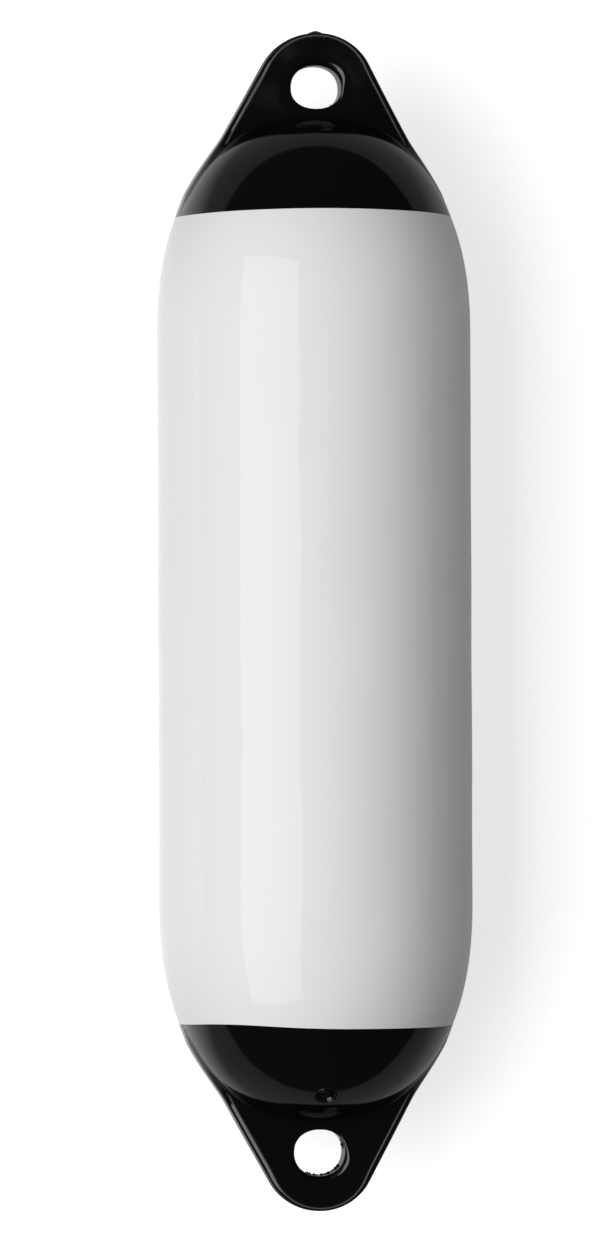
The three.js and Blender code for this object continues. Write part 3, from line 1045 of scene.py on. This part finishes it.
# %% [markdown]
# ## Floor
#
# The fender lies on a white table. A plain white floor would be grey in the picture wherever little light
# falls, and more light would burn out the white tube, so the Light Path node gives each kind of ray a
# floor of its own. The camera sees a white floor that also glows, which lifts it and still leaves the
# shadow on it. The glossy vinyl mirrors one with painted light and shade: bright on the left, darker on
# the right and dark past both ends, with a painted shadow beyond each eye, and all of it with a painted
# glow. All other light bounces off a greyer one, which leaves the tube's underside in shade.

# %% Floor sheet
FLOOR_HALF = 0.75


def floor_sheet():
    """One square, from -half to +half in x and y."""
    mesh = bpy.data.meshes.new("floor")
    corners = [(-1, -1, 0), (1, -1, 0), (1, 1, 0), (-1, 1, 0)]
    mesh.from_pydata([tuple(FLOOR_HALF * v for v in corner) for corner in corners], [], [(0, 1, 2, 3)])
    made = bpy.data.objects.new("floor", mesh)
    bpy.context.scene.collection.objects.link(made)
    return made


floor = floor_sheet()
print("floor", 2 * FLOOR_HALF, "m across")

# %% Floor material
TABLE_SEEN = grey(0.8)
TABLE_LIFT = 0.6
# Painted light and shade on the floor that mirrors see: lit on the left, shaded on the right and past the
# ends.
TABLE_LEFT_LIT, TABLE_RIGHT_SHADE, TABLE_ENDS_SHADE, TABLE_PAINTED_SHADOW = grey(0.9), grey(0.35), grey(0.15), grey(0.03)
# Painted glow of the mirrored floor, on top of what the lamps give it.
TABLE_PAINTED_GLOW = 0.6
# Painted light and shade for bounced light: the bounce floor is lighter on the left and darker on the
# right.
BOUNCE_LEFT_LIT, BOUNCE_RIGHT_SHADE = grey(0.55), grey(0.3)
LEFT_TO_RIGHT = (-0.08, 0.08)
TO_ENDS = (0.13, 0.26)
# Painted shadow: a dark spot on the mirrored floor beyond each eye.
PAINTED_SHADOW_PLACE = 0.24
PAINTED_SHADOW_EDGE = (0.018, 0.035)


def camera_table(graph):
    """A white diffuse floor plus a glow of TABLE_LIFT."""
    white = graph.add("ShaderNodeBsdfDiffuse", {}, {"Color": TABLE_SEEN})[0]
    lift = graph.add("ShaderNodeEmission", {}, {"Color": grey(1.0), "Strength": TABLE_LIFT})[0]
    return graph.add("ShaderNodeAddShader", {}, {0: white, 1: lift})[0]


# Painted light and shade for mirrors: lit left, shaded right and ends, a shadow beyond each eye, a glow.
def painted_light_table(graph, place, to_right):
    """Left mixed to right, then to the ends' tone by |y|, then to the painted shadow's by the way to it."""
    x, y, _ = graph.add("ShaderNodeSeparateXYZ", {}, {0: place})
    sides = mixed(to_right, TABLE_LEFT_LIT, TABLE_RIGHT_SHADE)
    out = abs(y)
    with_ends = mixed(rising(out, *TO_ENDS), sides, TABLE_ENDS_SHADE)
    # Painted shadow beyond each eye.
    off_painted_shadow = rising(distance(x, out - PAINTED_SHADOW_PLACE), *PAINTED_SHADOW_EDGE)
    tone = mixed(off_painted_shadow, TABLE_PAINTED_SHADOW, with_ends)
    lit = graph.add("ShaderNodeBsdfDiffuse", {}, {"Color": tone})[0]
    # Painted glow: the mirrored floor also shines by its own tone.
    painted_glow = graph.add("ShaderNodeEmission", {}, {"Color": tone, "Strength": TABLE_PAINTED_GLOW})[0]
    return graph.add("ShaderNodeAddShader", {}, {0: lit, 1: painted_glow})[0]


def white_table():
    """The camera's floor for camera rays, one with painted light and shade for glossy rays, and a bounce
    for others.
    """
    material = bpy.data.materials.new("white table")
    graph = Graph(material)
    camera_ray, _, _, glossy_ray = graph.add("ShaderNodeLightPath")[:4]
    place = object_place(graph)
    across, _, _ = graph.add("ShaderNodeSeparateXYZ", {}, {0: place})
    to_right = rising(across, *LEFT_TO_RIGHT)
    mirrored = painted_light_table(graph, place, to_right)
    # Painted light and shade: the bounce is lighter on the left and darker on the right, which shades the
    # tube's right side.
    bounce_tone = mixed(to_right, BOUNCE_LEFT_LIT, BOUNCE_RIGHT_SHADE)
    bounce = graph.add("ShaderNodeBsdfDiffuse", {}, {"Color": bounce_tone})[0]
    others = graph.add("ShaderNodeMixShader", {}, {0: glossy_ray, 1: bounce, 2: mirrored})[0]
    surface = graph.add("ShaderNodeMixShader", {}, {0: camera_ray, 1: others, 2: camera_table(graph)})[0]
    graph.add("ShaderNodeOutputMaterial", {}, {"Surface": surface})
    return material


floor.data.materials.append(white_table())
print("floor material", floor.data.materials[0].name)

# %% [markdown]
# ## World
#
# The room beyond the table is dark, so the lamps alone make the highlights. A grey world would fill the
# shade and veil the black vinyl. Only the camera sees white there, in case it looks past the floor's
# edge.

# %% World
ROOM_LIGHT = 0.03

world = bpy.data.worlds.new("studio")
bpy.context.scene.world = world
graph = Graph(world)
camera_ray, _, diffuse_ray, glossy_ray = graph.add("ShaderNodeLightPath")[:4]
strength = camera_ray + (diffuse_ray + glossy_ray) * ROOM_LIGHT
room = graph.add("ShaderNodeBackground", {}, {"Color": grey(1.0), "Strength": strength})[0]
graph.add("ShaderNodeOutputWorld", {}, {"Surface": room})
world.cycles.sampling_method = "NONE"
print("room light", ROOM_LIGHT)

# %% [markdown]
# ## Softboxes
#
# The long bright band down the tube is the mirror image of a softbox up on the left, and its size and
# place follow from that band. Area lamps do what softboxes do: soft shadows, and a sharp-edged image in
# gloss. A second one on the right fills the shade, and is hidden from mirrors, because the tube shows no
# image of it.

# %% Softboxes
def softbox(name, lean, distance, along, size, radiance, mirrored=True):
    """A flat lamp that faces the fender: lean is its angle from straight up, towards -X, and its power is
    radiance * pi * area."""
    lamp = bpy.data.lights.new(name, "AREA")
    lamp.shape = "RECTANGLE"
    lamp.size, lamp.size_y = size
    lamp.energy = radiance * np.pi * size[0] * size[1]
    made = bpy.data.objects.new(name, lamp)
    made.visible_glossy = mirrored
    made.location = (-distance * np.sin(lean), along, distance * np.cos(lean) + AXIS_HEIGHT * MM)
    made.rotation_euler = (0, -lean, 0)
    bpy.context.scene.collection.objects.link(made)
    return made


softboxes = [
    softbox("strip", np.radians(38.5), distance=1.9, along=-0.18, size=(1.56, 2.23), radiance=3.65),
    softbox("far fill", np.radians(-25), 2.0, along=0.8, size=(0.7, 2.6), radiance=2.15, mirrored=False),
]
print("softboxes", {lamp.name: round(lamp.data.energy, 1) for lamp in softboxes})

# %% [markdown]
# ## Camera
#
# The photograph looks straight down on the table, and the fender lies rolled a little on its side. A
# rolled fender would no longer fit its packed model, so the camera leans by the same angle over a level
# one. It is far away with a long lens, because the photo shows next to no perspective.

# %% Camera
IMAGE_HEIGHT = 1247
PIXELS_OFF_CENTRE = (14.5, 3.0)
VIEW_HEIGHT = 0.4766
CAMERA_DISTANCE = 3.3
SENSOR_HEIGHT = 24.0
ROLL = np.radians(6)
TURN = np.radians(0.23)

off_centre = Vector(PIXELS_OFF_CENTRE) * (VIEW_HEIGHT / IMAGE_HEIGHT)
camera_data = bpy.data.cameras.new("camera")
camera_data.sensor_fit = "VERTICAL"
camera_data.sensor_height = SENSOR_HEIGHT
camera_data.lens = SENSOR_HEIGHT * CAMERA_DISTANCE / VIEW_HEIGHT
camera = bpy.data.objects.new("camera", camera_data)
bpy.context.scene.collection.objects.link(camera)
turn = Matrix.Rotation(-ROLL, 4, "Y") @ Matrix.Rotation(-TURN, 4, "Z")
aim = Vector((0, 0, AXIS_HEIGHT * MM))
shift = turn @ Vector((-off_centre[0], -off_centre[1], CAMERA_DISTANCE))
camera.matrix_world = Matrix.Translation(aim + shift) @ turn
bpy.context.scene.camera = camera
bpy.context.scene.view_settings.view_transform = "Standard"
print("camera at", [round(v, 3) for v in camera.matrix_world.translation])

# %% [markdown]
# ## Finish
#
# The dressed fender must be as large as the packed one.
